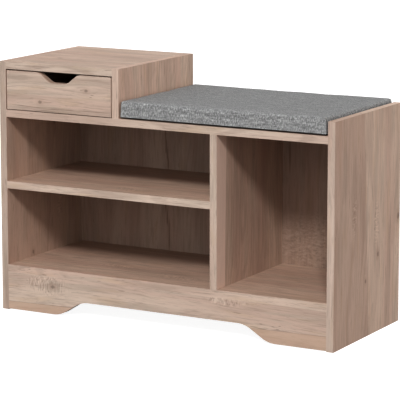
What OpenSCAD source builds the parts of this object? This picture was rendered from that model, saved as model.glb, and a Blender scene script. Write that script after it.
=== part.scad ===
// Entryway bench: two open shoe bays and a shelf under a cushioned seat, with a drawer tower at
// the left. Millimetres. The origin is on the floor at the middle of the footprint, +X points to
// the bench's right, +Y to its back and +Z up.

/* [Bench] */
// Width over the two side panels
bench_w = 800; // [650:5:1100]
// Depth of the side panels, front edge to rear edge
bench_d = 318; // [260:1:420]
// Height of the seat board's upper face above the floor
seat_h = 440; // [360:1:540]
// Thickness of the boards
board_t = 16; // [13:0.5:20]
// Height of the bottom shelf's upper face above the floor
base_h = 100; // [80:1:130]
// Clear height under the middle shelf
lower_bay_h = 168; // [130:1:210]
// Clear width of the bay to the right of the divider
right_bay_w = 252; // [200:1:320]
// How far the right side panel rises above the seat board
panel_rise = 30; // [10:1:60]

/* [Drawer tower] */
// Clear width of the drawer opening
bay_w = 266; // [210:1:330]
// Clear height of the drawer opening
bay_h = 88; // [72:1:120]
// Gap on each side of the drawer front
front_gap_side = 2.5; // [1:0.5:4]
// Gap above the drawer front
front_gap_top = 2.5; // [1:0.5:4]
// Gap below the drawer front
front_gap_low = 1.5; // [1:0.5:4]
// Width of the finger notch where it meets the front's upper edge
notch_w = 112; // [106:1:130]
// Depth of the finger notch
notch_h = 21; // [16:1:28]
// Radius of the notch's rounded corners
notch_r = 22; // [6:1:22]
// Steepness of the notch's sloping ends, in degrees
notch_slope = 38; // [36:1:48]

/* [Drawer box] */
// Thickness of the drawer's sides and back
drawer_t = 12; // [10:0.5:15]
// Free height between the drawer's sides and the top board
drawer_head_gap = 17; // [8:1:30]
// Free depth between the drawer's back and the bay's back panel
drawer_rear_gap = 12; // [6:1:25]
// Height of the drawer's bottom panel above the lower edge of its sides
bottom_lift = 6; // [5:0.5:12]

/* [Back panels] */
// Thickness of the back panels and the drawer's bottom panel
panel_t = 3; // [2.5:0.5:4]
// Distance from the rear edges to the front face of the back panels
back_inset = 20; // [12:1:30]
// Depth of the grooves that hold thin panels
groove_deep = 5; // [3:0.5:6]
// Free play of a thin panel in its groove, each way
groove_play = 0.2; // [0.1:0.05:0.4]

/* [Apron] */
// Gap between the apron and the floor
apron_gap = 2; // [1:0.5:6]
// Length of each foot, from the side panel to where the arch begins
foot_w = 115; // [80:1:160]
// Height of the arch above the feet
arch_h = 34; // [30:1:45]
// Radius of the arch's rounded corners
arch_r = 60; // [20:1:60]
// Steepness of the arch's sloping ends, in degrees
arch_slope = 32; // [28:1:40]
// Length of a corner block
block_l = 32; // [26:1:50]
// Width and height of a corner block
block_w = 18; // [15:1:22]
// Distance from a side panel to the middle of the end corner blocks
block_inset = 54; // [30:1:90]

/* [Cushion] */
// Thickness of the cushion
cushion_h = 31; // [24:1:60]
// Gap between the cushion and the walls beside it
cushion_gap = 3; // [2:0.5:6]
// How far the cushion stops short of the bench's rear edge
cushion_rear_gap = 1.5; // [0.5:0.5:6]
// Thickness of the cover cloth
cover_t = 1.2; // [0.8:0.1:2]
// Thickness of the cushion's base board
cushion_board_t = 3; // [2.5:0.5:6]
// Thickness of the dust cloth under the base board
dust_cloth_t = 0.8; // [0.5:0.1:1.2]
// Length and width of a hook-and-loop pad
pad_size = [30, 25]; // [15:1:40]
// Thickness of one pad of a hook-and-loop pair
pad_t = 1.5; // [1:0.1:2]
// Gap between the hook pad and the loop pad
pad_play = 0.2; // [0.1:0.05:0.4]
// Distance from the cushion's edges to the middle of a pad
pad_inset = 45; // [30:1:80]

/* [Drawer runners] */
// Gap that a runner fills between the bay's wall and the drawer's side
runner_w = 12.5; // [12.5:0.1:13]
// Thickness of the runner steel
steel_t = 1.2; // [1:0.1:1.5]
// Height of the runners above the seat board
runner_lift = 8; // [5:1:14]
// Diameter of the rollers
roller_d = 16; // [14:0.5:18]
// Width of the rollers
roller_w = 6.6; // [5:0.2:7]
// Diameter of the roller pins
pin_d = 4; // [3:0.5:5]
// Gap between a roller and its pin, and between a roller and its track
roller_play = 0.05; // [0.02:0.01:0.1]
// Distance from a runner's end to the middle of its roller
roller_inset = 10; // [9:0.5:14]
// How far a runner is shorter than the drawer box
runner_short = 20; // [10:1:40]

/* [Fittings] */
// Diameter of the cam locks in the boards
cam_d = 15; // [12:0.5:15]
// Depth of the cam locks in the boards
cam_deep = 12.5; // [10:0.5:12.5]
// Distance from a board's end to the middle of its cam locks
cam_back = 24; // [20:1:34]
// Diameter of the cam locks in the drawer's sides
small_cam_d = 12; // [10:0.5:12]
// Depth of the cam locks in the drawer's sides
small_cam_deep = 9.5; // [8:0.5:9.5]
// Diameter of the cam bolts
bolt_d = 6; // [5:0.5:6.5]
// Length of a cam bolt's thread in the panel
bolt_grip = 11; // [9:0.5:11]
// Diameter of the dowels
dowel_d = 8; // [6:0.5:8]
// Diameter of the dowels in the drawer's sides
small_dowel_d = 6; // [5:0.5:6]
// Length of a dowel in the board's end
dowel_deep = 20; // [15:1:24]
// Length of a dowel in the panel's face
dowel_grip = 10; // [8:0.5:11]
// Play around a fitting in its hole
fitting_play = 0.1; // [0.05:0.05:0.2]
// Distance from the front edge, or from the back panel, to the cam locks
cam_inset = 40; // [30:1:60]
// Distance from the front edge, or from the back panel, to the dowels
dowel_inset = 72; // [60:1:90]
// Distance from the front edge, or from the back panel, to the frame screws
screw_inset = 56; // [45:1:80]

/* [Hidden] */
$fn = 48;

// How far a cut runs past the face it opens.
past = 1;

// Colours
oak = [0.77, 0.68, 0.60];
oak_side = [0.68, 0.59, 0.52];
hardboard = [0.55, 0.47, 0.41];
zinc = [0.72, 0.73, 0.75];
beech = [0.80, 0.66, 0.46];
white_plastic = [0.90, 0.90, 0.88];
runner_white = [0.86, 0.86, 0.84];
linen = [0.57, 0.57, 0.58];
foam_yellow = [0.92, 0.88, 0.70];
black_cloth = [0.06, 0.06, 0.06];

// Faces of the carcass
left_x = -bench_w / 2;
right_x = bench_w / 2;
left_in = left_x + board_t;
right_in = right_x - board_t;
front_y = -bench_d / 2;
back_y = bench_d / 2;
panel_y = back_y - back_inset;
bay_wall_x = left_in + bay_w;
bay_mid_x = left_in + bay_w / 2;
divider_x = right_in - right_bay_w - board_t;
seat_z = seat_h - board_t;
base_z = base_h - board_t;
shelf_z = base_h + lower_bay_h;
top_z = seat_h + bay_h;
tower_h = top_z + board_t;

// Ends of the boards: where the end is, which way the panel beside it lies, the board's mid height
seat_ends = [[left_in, -1, seat_z + board_t / 2], [right_in, 1, seat_z + board_t / 2]];
base_ends = [[left_in, -1, base_z + board_t / 2], [right_in, 1, base_z + board_t / 2]];
top_ends = [[left_in, -1, top_z + board_t / 2], [bay_wall_x, 1, top_z + board_t / 2]];
shelf_ends = [[left_in, -1, shelf_z + board_t / 2], [divider_x, 1, shelf_z + board_t / 2]];
all_ends = concat(seat_ends, base_ends, top_ends, shelf_ends);

// Front and rear places of the fittings
cam_ys = [front_y + cam_inset, panel_y - cam_inset];
dowel_ys = [front_y + dowel_inset, panel_y - dowel_inset];
screw_ys = [front_y + screw_inset, panel_y - screw_inset];

// Cam lock and cam bolt details
head_l = 3;
neck_d = 3.6;
neck_l = 4.5;
bolt_room = 2;
slot_play = 1.4;
cross_l = 8;
cross_w = 1.6;
cross_deep = 2;

// Frame screws: flat head, plain shank through one board, thread in the end of the next
screw_head_d = 10;
screw_head_t = 3;
screw_shank_d = 7;
screw_thread_d = 5;
screw_grip = 34;
socket_d = 4.6;
socket_deep = 2;

// Small wood screws
wood_screw_d = 3.5;
wood_head_d = 6.5;
wood_head_t = 1.2;
wood_grip = 10;
back_screw_grip = 22;
block_screw_grip = 8;
block_head_deep = 8;
block_screw_l = block_w + block_screw_grip;

// Corner blocks
block_xs = [for (k = [-1, -1 / 3, 1 / 3, 1]) k * (bench_w / 2 - board_t - block_inset)];
block_y = front_y + board_t;

// Drawer front
front_x = left_in + front_gap_side;
front_w = bay_w - 2 * front_gap_side;
front_z = seat_h + front_gap_low;
front_h = bay_h - front_gap_low - front_gap_top;

// Drawer box
box_x = left_in + runner_w;
box_w = bay_w - 2 * runner_w;
box_y = front_y + board_t;
box_d = panel_y - drawer_rear_gap - box_y;
runner_z = seat_h + runner_lift;
rail_web_lift = 3;
box_z = runner_z + rail_web_lift;
side_h = top_z - drawer_head_gap - box_z;
floor_z = box_z + bottom_lift;
cam_lift = side_h * 0.72;
dowel_lift = side_h * 0.4;
back_screw_lifts = [side_h * 0.35, side_h * 0.8];

// Runners, as distances from the bay's wall and from the runner's lower edge
runner_l = box_d - runner_short;
runner_y = box_y + 2;
axle_z = steel_t + roller_play + roller_d / 2;
flange_z = axle_z + roller_d / 2 + roller_play;
lip_gap = 1;
lip_z = flange_z + steel_t + lip_gap;
runner_h = lip_z + steel_t;
lip_w = 10.2;
rail_x = runner_w - steel_t;
rail_flange_x = 3.2;
rail_h = 30;
pin_head_d = 7;
pin_head_t = 0.7;
front_roller_x = 2.4;
rear_roller_x = 3.3;
runner_screw_ys = [runner_y + 45, runner_y + runner_l - 45];
rail_screw_ys = [runner_y + 60, runner_y + runner_l - 60];
rail_screw_z = flange_z + steel_t + 6;

// Cushion
cushion_x = bay_wall_x + board_t + cushion_gap;
cushion_w = right_in - cushion_gap - cushion_x;
cushion_y = front_y;
cushion_d = bench_d - cushion_rear_gap;
cushion_z = seat_h + 2 * pad_t + pad_play;
inside_w = cushion_w - 2 * cover_t;
inside_d = cushion_d - 2 * cover_t;
cushion_board_z = cushion_z + dust_cloth_t;
foam_z = cushion_board_z + cushion_board_t;

// ---- Shared shapes -------------------------------------------------------------------------

// A block from its lowest corner to its highest corner.
module block(low, high) {
    translate(low) cube(high - low);
}

// The length and the points of a level line that turns up a slope and levels out again.
function s_run(r, slope, h) = 2 * r * sin(slope) + (h - 2 * r * (1 - cos(slope))) / tan(slope);
function s_arc(r, t) = [r * sin(t), r * (1 - cos(t))];
function s_curve(r, slope, h, steps = 10) = concat(
    [for (i = [0:steps]) s_arc(r, slope * i / steps)],
    [for (i = [steps:-1:0]) [s_run(r, slope, h), h] - s_arc(r, slope * i / steps)]
);

// A wide arch with S-shaped ends, standing on the X axis.
module arch(w, r, slope, h) {
    rise = s_curve(r, slope, h);
    last = len(rise) - 1;
    polygon(concat(
        [[-w / 2, -past]],
        [for (p = rise) [p[0] - w / 2, p[1]]],
        [for (i = [last:-1:0]) [w / 2 - rise[i][0], rise[i][1]]],
        [[w / 2, -past]]
    ));
}

// Places children at each board end with +Z pointing into the panel beside it.
module at_ends(ends, ys) {
    for (e = ends) {
        for (y = ys) {
            translate([e[0], y, e[2]]) rotate([0, 90 * e[1], 0]) children();
        }
    }
}

// Places children on the underside of each board, over a cam lock, with +X towards the panel.
module at_cams(ends) {
    for (e = ends) {
        for (y = cam_ys) {
            translate([e[0] - e[1] * cam_back, y, e[2] - board_t / 2])
                rotate([0, 0, e[1] > 0 ? 0 : 180]) children();
        }
    }
}

// A cam lock standing on its slotted face, with the way in for its bolt along +X.
module cam_lock(d, deep, bolt_z) {
    way = bolt_d + slot_play;
    difference() {
        cylinder(d = d, h = deep);
        translate([-head_l, -way / 2, bolt_z - way / 2]) cube([d, way, way]);
        for (turn = [0, 90]) {
            rotate([0, 0, turn]) translate([-cross_l / 2, -cross_w / 2, -past])
                cube([cross_l, cross_w, cross_deep + past]);
        }
    }
}

// A cam bolt along Z: its thread above the origin and its head at the cam lock below.
module cam_bolt(back) {
    union() {
        translate([0, 0, neck_l + head_l - back - bolt_room])
            cylinder(d = bolt_d, h = back + bolt_room + bolt_grip - neck_l - head_l);
        translate([0, 0, -back - bolt_room]) cylinder(d = bolt_d, h = head_l);
        translate([0, 0, -back]) cylinder(d = neck_d, h = neck_l + head_l);
    }
}

// A dowel along Z: its grip above the origin and its longer end below.
module dowel(d, deep, grip) {
    translate([0, 0, -deep]) cylinder(d = d, h = deep + grip);
}

// The holes that a board needs for its end fittings.
module board_bores(ends) {
    at_ends(ends, cam_ys) translate([0, 0, -cam_back])
        cylinder(d = bolt_d + bolt_room, h = cam_back + past);
    at_cams(ends) translate([0, 0, -past])
        cylinder(d = cam_d + 2 * fitting_play, h = cam_deep + fitting_play + past);
    at_ends(ends, dowel_ys) translate([0, 0, -dowel_deep - fitting_play])
        cylinder(d = dowel_d + 2 * fitting_play, h = dowel_deep + fitting_play + past);
}

// The holes that a panel needs for the fittings of the board ends against it.
module panel_bores(ends) {
    at_ends(ends, cam_ys) translate([0, 0, -past])
        cylinder(d = bolt_d + 2 * fitting_play, h = bolt_grip + fitting_play + past);
    at_ends(ends, dowel_ys) translate([0, 0, -past])
        cylinder(d = dowel_d + 2 * fitting_play, h = dowel_grip + fitting_play + past);
}

// Places children at each frame screw, at its head, with +Z along the screw.
module at_frame_screws() {
    for (y = screw_ys) {
        translate([divider_x + board_t / 2, y, base_z]) children();
        translate([divider_x + board_t / 2, y, seat_h]) mirror([0, 0, 1]) children();
        translate([bay_wall_x + board_t / 2, y, seat_z]) children();
    }
}

// A frame screw along Z from its head, with extra room when it is used as a cutter.
module frame_screw(room = 0) {
    over = room > 0 ? past : 0;
    union() {
        translate([0, 0, -over]) cylinder(d = screw_head_d + 2 * room, h = screw_head_t + over);
        cylinder(d = screw_shank_d + 2 * room, h = board_t);
        cylinder(d = screw_thread_d + 2 * room, h = board_t + screw_grip + room);
    }
}

// A small flat-head wood screw along Z from its head.
module wood_screw(grip, head_t = wood_head_t, room = 0) {
    over = room > 0 ? past : 0;
    union() {
        translate([0, 0, -over]) cylinder(d = wood_head_d + 2 * room, h = head_t + over);
        cylinder(d = wood_screw_d + 2 * room, h = head_t + grip + room);
    }
}

// The space that a back panel takes up, grown for its grooves.
module back_slab(low_x, high_x, low_z, high_z, play = 0) {
    reach = groove_deep - groove_play;
    block(
        [low_x - reach - play, panel_y - play, low_z - reach - play],
        [high_x + reach + play, panel_y + panel_t + play, high_z + reach + play]
    );
}

module main_slab(play = 0) {
    back_slab(left_in, right_in, base_h, seat_z, play);
}

module bay_slab(play = 0) {
    back_slab(left_in, bay_wall_x, seat_h, top_z, play);
}

// Places children in the frame of a runner: X from the bay's wall, Z from the runner's lower edge.
module at_runner(side) {
    translate([side < 0 ? left_in : bay_wall_x, 0, runner_z])
        mirror([side < 0 ? 0 : 1, 0, 0]) children();
}

// Places children at both runners.
module at_runners() {
    for (side = [-1, 1]) {
        at_runner(side) children();
    }
}

// ---- Carcass -------------------------------------------------------------------------------

module side_panel_left() {
    color(oak_side) difference() {
        block([left_x, front_y, 0], [left_in, back_y, tower_h]);
        panel_bores([seat_ends[0], base_ends[0], top_ends[0], shelf_ends[0]]);
        main_slab(groove_play);
        bay_slab(groove_play);
        at_runner(-1) runner_screws_at(fitting_play);
    }
}

module side_panel_right() {
    color(oak_side) difference() {
        block([right_in, front_y, 0], [right_x, back_y, seat_h + panel_rise]);
        panel_bores([seat_ends[1], base_ends[1]]);
        main_slab(groove_play);
    }
}

module seat_board() {
    color(oak) difference() {
        block([left_in, front_y, seat_z], [right_in, back_y, seat_h]);
        board_bores(seat_ends);
        main_slab(groove_play);
        bay_slab(groove_play);
        at_frame_screws() frame_screw(fitting_play);
    }
}

module top_board() {
    color(oak) difference() {
        block([left_in, front_y, top_z], [bay_wall_x, back_y, tower_h]);
        board_bores(top_ends);
        bay_slab(groove_play);
    }
}

module bay_wall() {
    color(oak_side) difference() {
        block([bay_wall_x, front_y, seat_h], [bay_wall_x + board_t, back_y, tower_h]);
        panel_bores([top_ends[1]]);
        bay_slab(groove_play);
        at_frame_screws() frame_screw(fitting_play);
        at_runner(1) runner_screws_at(fitting_play);
    }
}

module divider() {
    color(oak_side) difference() {
        block([divider_x, front_y, base_h], [divider_x + board_t, panel_y, seat_z]);
        panel_bores([shelf_ends[1]]);
        at_frame_screws() frame_screw(fitting_play);
    }
}

module middle_shelf() {
    color(oak) difference() {
        block([left_in, front_y, shelf_z], [divider_x, panel_y, shelf_z + board_t]);
        board_bores(shelf_ends);
    }
}

module bottom_shelf() {
    color(oak) difference() {
        block([left_in, front_y, base_z], [right_in, back_y, base_h]);
        board_bores(base_ends);
        main_slab(groove_play);
        at_frame_screws() frame_screw(fitting_play);
        at_block_screws() block_screw_bore();
    }
}

module apron() {
    arch_w = right_in - left_in - 2 * foot_w;
    color(oak) difference() {
        block([left_in, front_y, apron_gap], [right_in, front_y + board_t, base_z]);
        translate([0, front_y + board_t + past, apron_gap]) rotate([90, 0, 0])
            linear_extrude(board_t + 2 * past) arch(arch_w, arch_r, arch_slope, arch_h);
        at_block_screws() block_screw_bore();
    }
}

module back_panel() {
    color(hardboard) main_slab();
}

module bay_back_panel() {
    color(hardboard) bay_slab();
}

// ---- Carcass fittings ----------------------------------------------------------------------

module cam_locks() {
    color(zinc) at_cams(all_ends) cam_lock(cam_d, cam_deep, board_t / 2);
}

module cam_bolts() {
    color(zinc) at_ends(all_ends, cam_ys) cam_bolt(cam_back);
}

module dowels() {
    color(beech) at_ends(all_ends, dowel_ys) dowel(dowel_d, dowel_deep, dowel_grip);
}

module frame_screws() {
    color(zinc) at_frame_screws() difference() {
        frame_screw();
        translate([0, 0, -past]) cylinder(d = socket_d, h = socket_deep + past, $fn = 6);
    }
}

// Places children at each corner block's screws: one up into the shelf, one into the apron.
module at_block_screws() {
    aside = block_l / 4;
    for (x = block_xs) {
        translate([x - aside, block_y + block_w / 2, base_z - block_w]) children();
        translate([x + aside, block_y + block_w, base_z - block_w / 2])
            rotate([90, 0, 0]) children();
    }
}

// The hole for a corner block's screw, from the block's outer face.
module block_screw_bore() {
    head = block_head_deep + wood_head_t;
    wood_screw(block_screw_l - head, head, fitting_play);
}

module corner_blocks() {
    color(white_plastic) difference() {
        for (x = block_xs) {
            block(
                [x - block_l / 2, block_y, base_z - block_w],
                [x + block_l / 2, block_y + block_w, base_z]
            );
        }
        at_block_screws() block_screw_bore();
    }
}

module corner_block_screws() {
    color(zinc) at_block_screws() translate([0, 0, block_head_deep])
        wood_screw(block_screw_l - block_head_deep - wood_head_t);
}

// ---- Drawer runners on the carcass ---------------------------------------------------------

// The screws that hold a runner to the bay's wall, heads flush with the runner's web.
module runner_screws_at(room = 0) {
    for (y = runner_screw_ys) {
        translate([steel_t, y, runner_h / 2]) rotate([0, -90, 0])
            wood_screw(wood_grip, wood_head_t, room);
    }
}

// A C-shaped channel, its roller pin's hole near the front.
module runner() {
    difference() {
        block([0, runner_y, 0], [lip_w, runner_y + runner_l, runner_h]);
        block(
            [steel_t, runner_y - past, steel_t],
            [lip_w + past, runner_y + runner_l + past, lip_z]
        );
        runner_screws_at(fitting_play);
        front_pin_at(fitting_play);
    }
}

// The front roller's pin, held in the runner's web.
module front_pin_at(room = 0) {
    reach = front_roller_x + roller_w + 2 * roller_play;
    translate([0, runner_y + roller_inset, axle_z]) rotate([0, 90, 0]) union() {
        cylinder(d = pin_d + 2 * room, h = reach);
        if (room == 0) {
            translate([0, 0, reach]) cylinder(d = pin_head_d, h = pin_head_t);
        }
    }
}

module roller() {
    difference() {
        cylinder(d = roller_d, h = roller_w);
        translate([0, 0, -past]) cylinder(d = pin_d + 2 * roller_play, h = roller_w + 2 * past);
    }
}

module front_roller() {
    translate([front_roller_x, runner_y + roller_inset, axle_z]) rotate([0, 90, 0]) roller();
}

module rear_roller() {
    translate([rear_roller_x, runner_y + runner_l - roller_inset, axle_z])
        rotate([0, 90, 0]) roller();
}

module runner_left() {
    color(runner_white) at_runner(-1) runner();
}

module runner_right() {
    color(runner_white) at_runner(1) runner();
}

module runner_screws() {
    color(zinc) at_runners() runner_screws_at();
}

module front_roller_pins() {
    color(zinc) at_runners() front_pin_at();
}

module front_roller_left() {
    color(white_plastic) at_runner(-1) front_roller();
}

module front_roller_right() {
    color(white_plastic) at_runner(1) front_roller();
}

// ---- Drawer --------------------------------------------------------------------------------

// The drawer's bottom panel, grown for its grooves.
module bottom_slab(play = 0) {
    reach = groove_deep - groove_play;
    block(
        [box_x + drawer_t - reach - play, box_y - reach - play, floor_z - play],
        [
            box_x + box_w - drawer_t + reach + play,
            box_y + box_d - drawer_t + reach + play,
            floor_z + panel_t + play
        ]
    );
}

// Places children at the front ends of the drawer's sides, with +Z pointing into the front.
module at_drawer_sides(lift) {
    for (x = [box_x + drawer_t / 2, box_x + box_w - drawer_t / 2]) {
        translate([x, box_y, box_z + lift]) rotate([90, 0, 0]) children();
    }
}

// Places children on the inner faces of the drawer's sides, with +Z outwards, +X to the front.
module at_drawer_cams() {
    back = box_y + cam_back;
    translate([box_x + drawer_t, back, box_z + cam_lift]) rotate([0, -90, 0])
        rotate([0, 0, -90]) children();
    translate([box_x + box_w - drawer_t, back, box_z + cam_lift]) rotate([0, 90, 0])
        rotate([0, 0, -90]) children();
}

// Places children at the heads of the screws through the drawer's sides into its back.
module at_back_screws() {
    for (lift = back_screw_lifts) {
        translate([box_x, box_y + box_d - drawer_t / 2, box_z + lift])
            rotate([0, 90, 0]) children();
        translate([box_x + box_w, box_y + box_d - drawer_t / 2, box_z + lift])
            rotate([0, -90, 0]) children();
    }
}

module drawer_front() {
    color(oak) difference() {
        block([front_x, front_y, front_z], [front_x + front_w, box_y, front_z + front_h]);
        translate([bay_mid_x, box_y + past, front_z + front_h]) rotate([90, 0, 0])
            linear_extrude(board_t + 2 * past) mirror([0, 1, 0])
                arch(notch_w, notch_r, notch_slope, notch_h);
        bottom_slab(groove_play);
        at_drawer_sides(cam_lift) translate([0, 0, -past])
            cylinder(d = bolt_d + 2 * fitting_play, h = bolt_grip + fitting_play + past);
        at_drawer_sides(dowel_lift) translate([0, 0, -past])
            cylinder(d = small_dowel_d + 2 * fitting_play, h = dowel_grip + fitting_play + past);
    }
}

// One side of the drawer box, with the holes for its fittings.
module drawer_side(x) {
    color(oak_side) difference() {
        block([x, box_y, box_z], [x + drawer_t, box_y + box_d, box_z + side_h]);
        bottom_slab(groove_play);
        at_drawer_sides(cam_lift) translate([0, 0, -cam_back])
            cylinder(d = bolt_d + bolt_room, h = cam_back + past);
        at_drawer_sides(dowel_lift) translate([0, 0, -dowel_deep - fitting_play])
            cylinder(d = small_dowel_d + 2 * fitting_play, h = dowel_deep + fitting_play + past);
        at_drawer_cams() translate([0, 0, -past])
            cylinder(
                d = small_cam_d + 2 * fitting_play,
                h = small_cam_deep + fitting_play + past
            );
        at_back_screws() wood_screw(drawer_t + past, wood_head_t, fitting_play);
        at_runners() rail_screws_at(fitting_play);
        at_runners() rear_pin_at(fitting_play);
    }
}

module drawer_side_left() {
    drawer_side(box_x);
}

module drawer_side_right() {
    drawer_side(box_x + box_w - drawer_t);
}

module drawer_back() {
    rear = box_y + box_d;
    color(oak_side) difference() {
        block(
            [box_x + drawer_t, rear - drawer_t, box_z],
            [box_x + box_w - drawer_t, rear, box_z + side_h]
        );
        bottom_slab(groove_play);
        at_back_screws() wood_screw(drawer_t + back_screw_grip, wood_head_t, fitting_play);
    }
}

module drawer_bottom() {
    color(hardboard) bottom_slab();
}

module drawer_cam_locks() {
    color(zinc) at_drawer_cams() cam_lock(small_cam_d, small_cam_deep, drawer_t / 2);
}

module drawer_cam_bolts() {
    color(zinc) at_drawer_sides(cam_lift) cam_bolt(cam_back);
}

module drawer_dowels() {
    color(beech) at_drawer_sides(dowel_lift) dowel(small_dowel_d, dowel_deep, dowel_grip);
}

module drawer_back_screws() {
    color(zinc) at_back_screws() wood_screw(drawer_t - wood_head_t + back_screw_grip);
}

// The screws that hold a rail to the drawer's side, heads flush with the rail's web.
module rail_screws_at(room = 0) {
    for (y = rail_screw_ys) {
        translate([rail_x, y, rail_screw_z]) rotate([0, 90, 0])
            wood_screw(drawer_t - steel_t - past, wood_head_t, room);
    }
}

// The rear roller's pin, held in the rail's web.
module rear_pin_at(room = 0) {
    start = rear_roller_x - roller_play;
    translate([start, runner_y + runner_l - roller_inset, axle_z]) rotate([0, 90, 0]) union() {
        cylinder(d = pin_d + 2 * room, h = runner_w - start);
        if (room == 0) {
            translate([0, 0, -pin_head_t]) cylinder(d = pin_head_d, h = pin_head_t);
        }
    }
}

// A rail: a web against the drawer's side and a flange that runs on the front roller.
module rail() {
    difference() {
        union() {
            block([rail_x, runner_y, rail_web_lift], [runner_w, runner_y + runner_l, rail_h]);
            block(
                [rail_flange_x, runner_y, flange_z],
                [runner_w, runner_y + runner_l, flange_z + steel_t]
            );
        }
        rail_screws_at(fitting_play);
        rear_pin_at(fitting_play);
    }
}

module drawer_rail_left() {
    color(runner_white) at_runner(-1) rail();
}

module drawer_rail_right() {
    color(runner_white) at_runner(1) rail();
}

module drawer_rail_screws() {
    color(zinc) at_runners() rail_screws_at();
}

module rear_roller_pins() {
    color(zinc) at_runners() rear_pin_at();
}

module rear_roller_left() {
    color(white_plastic) at_runner(-1) rear_roller();
}

module rear_roller_right() {
    color(white_plastic) at_runner(1) rear_roller();
}

// ---- Cushion -------------------------------------------------------------------------------

// A layer inside the cushion's cover.
module cushion_layer(z, t) {
    translate([cushion_x + cover_t, cushion_y + cover_t, z]) cube([inside_w, inside_d, t]);
}

// Places children at the four corners where the cushion is held down.
module at_pads() {
    for (x = [cushion_x + pad_inset, cushion_x + cushion_w - pad_inset]) {
        for (y = [cushion_y + pad_inset, cushion_y + cushion_d - pad_inset]) {
            translate([x - pad_size[0] / 2, y - pad_size[1] / 2, 0]) children();
        }
    }
}

module cushion_cover() {
    color(linen) difference() {
        translate([cushion_x, cushion_y, cushion_z]) cube([cushion_w, cushion_d, cushion_h]);
        cushion_layer(cushion_z - past, cushion_h - cover_t + past);
    }
}

module cushion_foam() {
    color(foam_yellow) cushion_layer(foam_z, cushion_z + cushion_h - cover_t - foam_z);
}

module cushion_board() {
    color(hardboard) cushion_layer(cushion_board_z, cushion_board_t);
}

module cushion_underside() {
    color(black_cloth) cushion_layer(cushion_z, dust_cloth_t);
}

module hook_pads() {
    color(black_cloth) at_pads() translate([0, 0, seat_h])
        cube([pad_size[0], pad_size[1], pad_t]);
}

module loop_pads() {
    color(black_cloth) at_pads() translate([0, 0, cushion_z - pad_t])
        cube([pad_size[0], pad_size[1], pad_t]);
}

// ---- One line for each node ----------------------------------------------------------------

side_panel_left();
side_panel_right();
seat_board();
top_board();
bay_wall();
divider();
middle_shelf();
bottom_shelf();
apron();
back_panel();
bay_back_panel();
cam_locks();
cam_bolts();
dowels();
frame_screws();
corner_blocks();
corner_block_screws();
runner_left();
runner_right();
runner_screws();
front_roller_pins();
hook_pads();
drawer_front();
drawer_side_left();
drawer_side_right();
drawer_back();
drawer_bottom();
drawer_rail_left();
drawer_rail_right();
drawer_rail_screws();
rear_roller_pins();
drawer_cam_locks();
drawer_cam_bolts();
drawer_dowels();
drawer_back_screws();
front_roller_left();
front_roller_right();
rear_roller_left();
rear_roller_right();
cushion_cover();
cushion_foam();
cushion_board();
cushion_underside();
loop_pads();
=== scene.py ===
"""The looks of an entryway bench: printed oak boards, a woven grey seat pad, fittings, floor and light.

Lengths are metres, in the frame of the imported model: X to the right, Y to the back, Z up.
"""
import math

import bpy
from mathutils import Matrix, Vector
from mathutils import noise as mathutils_noise


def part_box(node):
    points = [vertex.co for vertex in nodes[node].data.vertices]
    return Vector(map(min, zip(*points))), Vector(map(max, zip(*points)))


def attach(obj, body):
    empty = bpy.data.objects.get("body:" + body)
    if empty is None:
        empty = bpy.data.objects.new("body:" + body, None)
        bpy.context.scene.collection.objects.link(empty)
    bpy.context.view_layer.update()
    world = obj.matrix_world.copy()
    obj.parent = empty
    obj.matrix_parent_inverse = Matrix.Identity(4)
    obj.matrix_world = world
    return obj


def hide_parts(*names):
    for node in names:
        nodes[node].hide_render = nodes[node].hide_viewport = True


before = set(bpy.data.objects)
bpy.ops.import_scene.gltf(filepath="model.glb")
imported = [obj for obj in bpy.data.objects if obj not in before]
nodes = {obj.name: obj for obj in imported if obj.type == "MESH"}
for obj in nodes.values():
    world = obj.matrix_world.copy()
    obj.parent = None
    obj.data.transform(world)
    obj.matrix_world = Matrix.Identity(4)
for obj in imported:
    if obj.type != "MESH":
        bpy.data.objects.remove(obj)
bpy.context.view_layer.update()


# ---------------------------------------------------------------- camera, light and floor

CAMERA_PLACE = (2.2989, -4.1092, 1.1292)
CAMERA_TURN = 29.179      # degrees round Z, from looking along +Y
CAMERA_DIP = 9.283        # degrees below the horizon
CAMERA_LENS = 201.2       # millimetres, on a 36 mm sensor
CAMERA_SHIFT = -0.125

KEY_TURN = 26.0           # degrees round Z, from the front towards the right
KEY_HEIGHT = 36.0         # degrees above the horizon
KEY_SIZE = 9.0            # degrees across, for soft shadow edges
KEY_STRENGTH = 1.92
ROOM_STRENGTH = 1.05
ROOM_ABOVE = -0.46        # the ceiling is darker by that much
ROOM_FRONT = 0.26         # and the front of the room lighter
PRINT_CONTRAST = 0.77     # below 1 deepens shadows and keeps white white
FLOOR_SIZE = 80.0
FLOOR_GREY = 0.30         # the floor's own colour, which the bench is lit by
FLOOR_GLOW = 0.93         # keeps the floor white to the camera, with a faint shadow at the bench's feet


def add_camera():
    tilt = math.radians(90 - CAMERA_DIP)
    bpy.ops.object.camera_add(location=CAMERA_PLACE, rotation=(tilt, 0, math.radians(CAMERA_TURN)))
    camera = bpy.context.object
    camera.name = "camera"
    camera.data.sensor_width = 36
    camera.data.lens = CAMERA_LENS
    camera.data.shift_y = CAMERA_SHIFT
    camera.data.clip_end = 200
    bpy.context.scene.camera = camera


def add_key_light():
    turn, height = math.radians(KEY_TURN), math.radians(KEY_HEIGHT)
    shine = Vector((-math.sin(turn) * math.cos(height), math.cos(turn) * math.cos(height), -math.sin(height)))
    bpy.ops.object.light_add(type="SUN", rotation=shine.to_track_quat("-Z", "Y").to_euler())
    key = bpy.context.object
    key.name = "key_light"
    key.data.energy = KEY_STRENGTH
    key.data.angle = math.radians(KEY_SIZE)


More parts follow.
